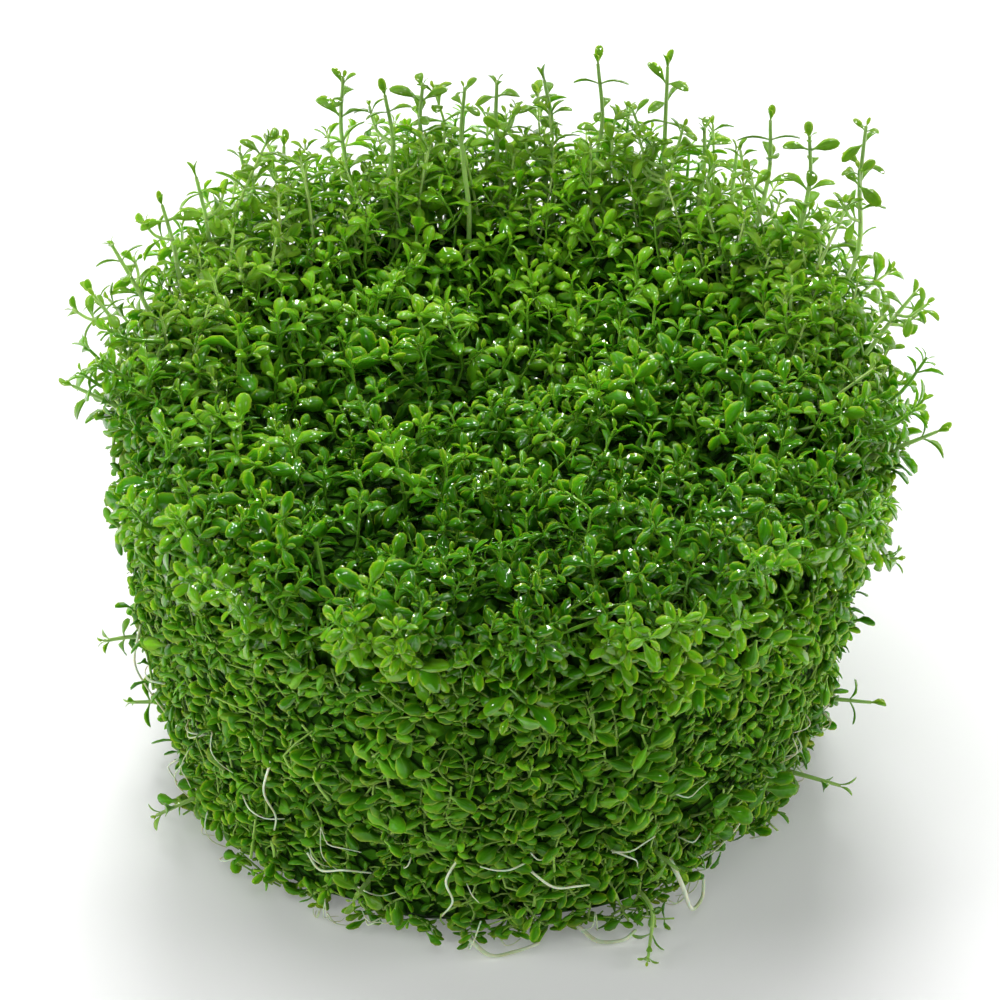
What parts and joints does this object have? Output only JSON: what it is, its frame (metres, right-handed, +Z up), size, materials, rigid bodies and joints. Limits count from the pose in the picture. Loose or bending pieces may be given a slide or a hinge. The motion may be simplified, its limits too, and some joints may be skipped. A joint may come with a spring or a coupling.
{
  "type": "dwarf baby tears aquarium plant plug",
  "caption": "Cup-shaped plug of a carpeting aquarium plant: a mat of tiny paired green leaves, with taller shoots round the back, sprigs on its wall and fine white roots.",
  "frame": {"origin": "middle of the flat underside of the leafy mat", "axes": "+Z up through the crown, -Y towards the front, +X to the right of someone at the front"},
  "size_m": [0.0819, 0.0747, 0.0595],
  "materials": {
    "leaf_green": "wet, semi-glossy small leaves, yellow-green at the tips and deep green between them",
    "shoot_green": "fresh, semi-glossy yellow-green leaves on pale green stems",
    "root_white": "fine, smooth, almost white roots with a green tinge"
  },
  "bodies": {
    "root": {"leaf_mat": "leaf_green", "root_cross_left": "root_white", "root_curl_front": "root_white", "root_curl_lower": "root_white", "root_curl_upper": "root_white", "root_fork_long": "root_white", "root_front_left": "root_white", "root_front_right": "root_white", "root_left": "root_white", "root_right_long": "root_white", "side_sprig_back_left": "shoot_green", "side_sprig_back_right": "shoot_green", "side_sprig_front_left": "shoot_green", "side_sprig_front_right": "shoot_green", "side_sprig_left_foot": "shoot_green", "side_sprig_left_high": "shoot_green", "side_sprig_left_low": "shoot_green", "side_sprig_left_middle": "shoot_green", "side_sprig_right_foot": "shoot_green", "side_sprig_right_high": "shoot_green", "side_sprig_right_low": "shoot_green", "side_sprig_right_middle": "shoot_green", "tall_shoot_back_01": "shoot_green", "tall_shoot_back_02": "shoot_green", "tall_shoot_back_03": "shoot_green", "tall_shoot_back_04": "shoot_green", "tall_shoot_back_05": "shoot_green", "tall_shoot_back_06": "shoot_green", "tall_shoot_back_07": "shoot_green", "tall_shoot_back_08": "shoot_green", "tall_shoot_back_09": "shoot_green", "tall_shoot_back_10": "shoot_green", "tall_shoot_back_11": "shoot_green", "tall_shoot_left_01": "shoot_green", "tall_shoot_left_02": "shoot_green", "tall_shoot_left_03": "shoot_green", "tall_shoot_left_04": "shoot_green", "tall_shoot_right_01": "shoot_green", "tall_shoot_right_02": "shoot_green", "tall_shoot_right_03": "shoot_green", "tall_shoot_right_04": "shoot_green", "tall_shoot_right_05": "shoot_green", "trailing_sprig": "shoot_green"}
  },
  "joints": []
}
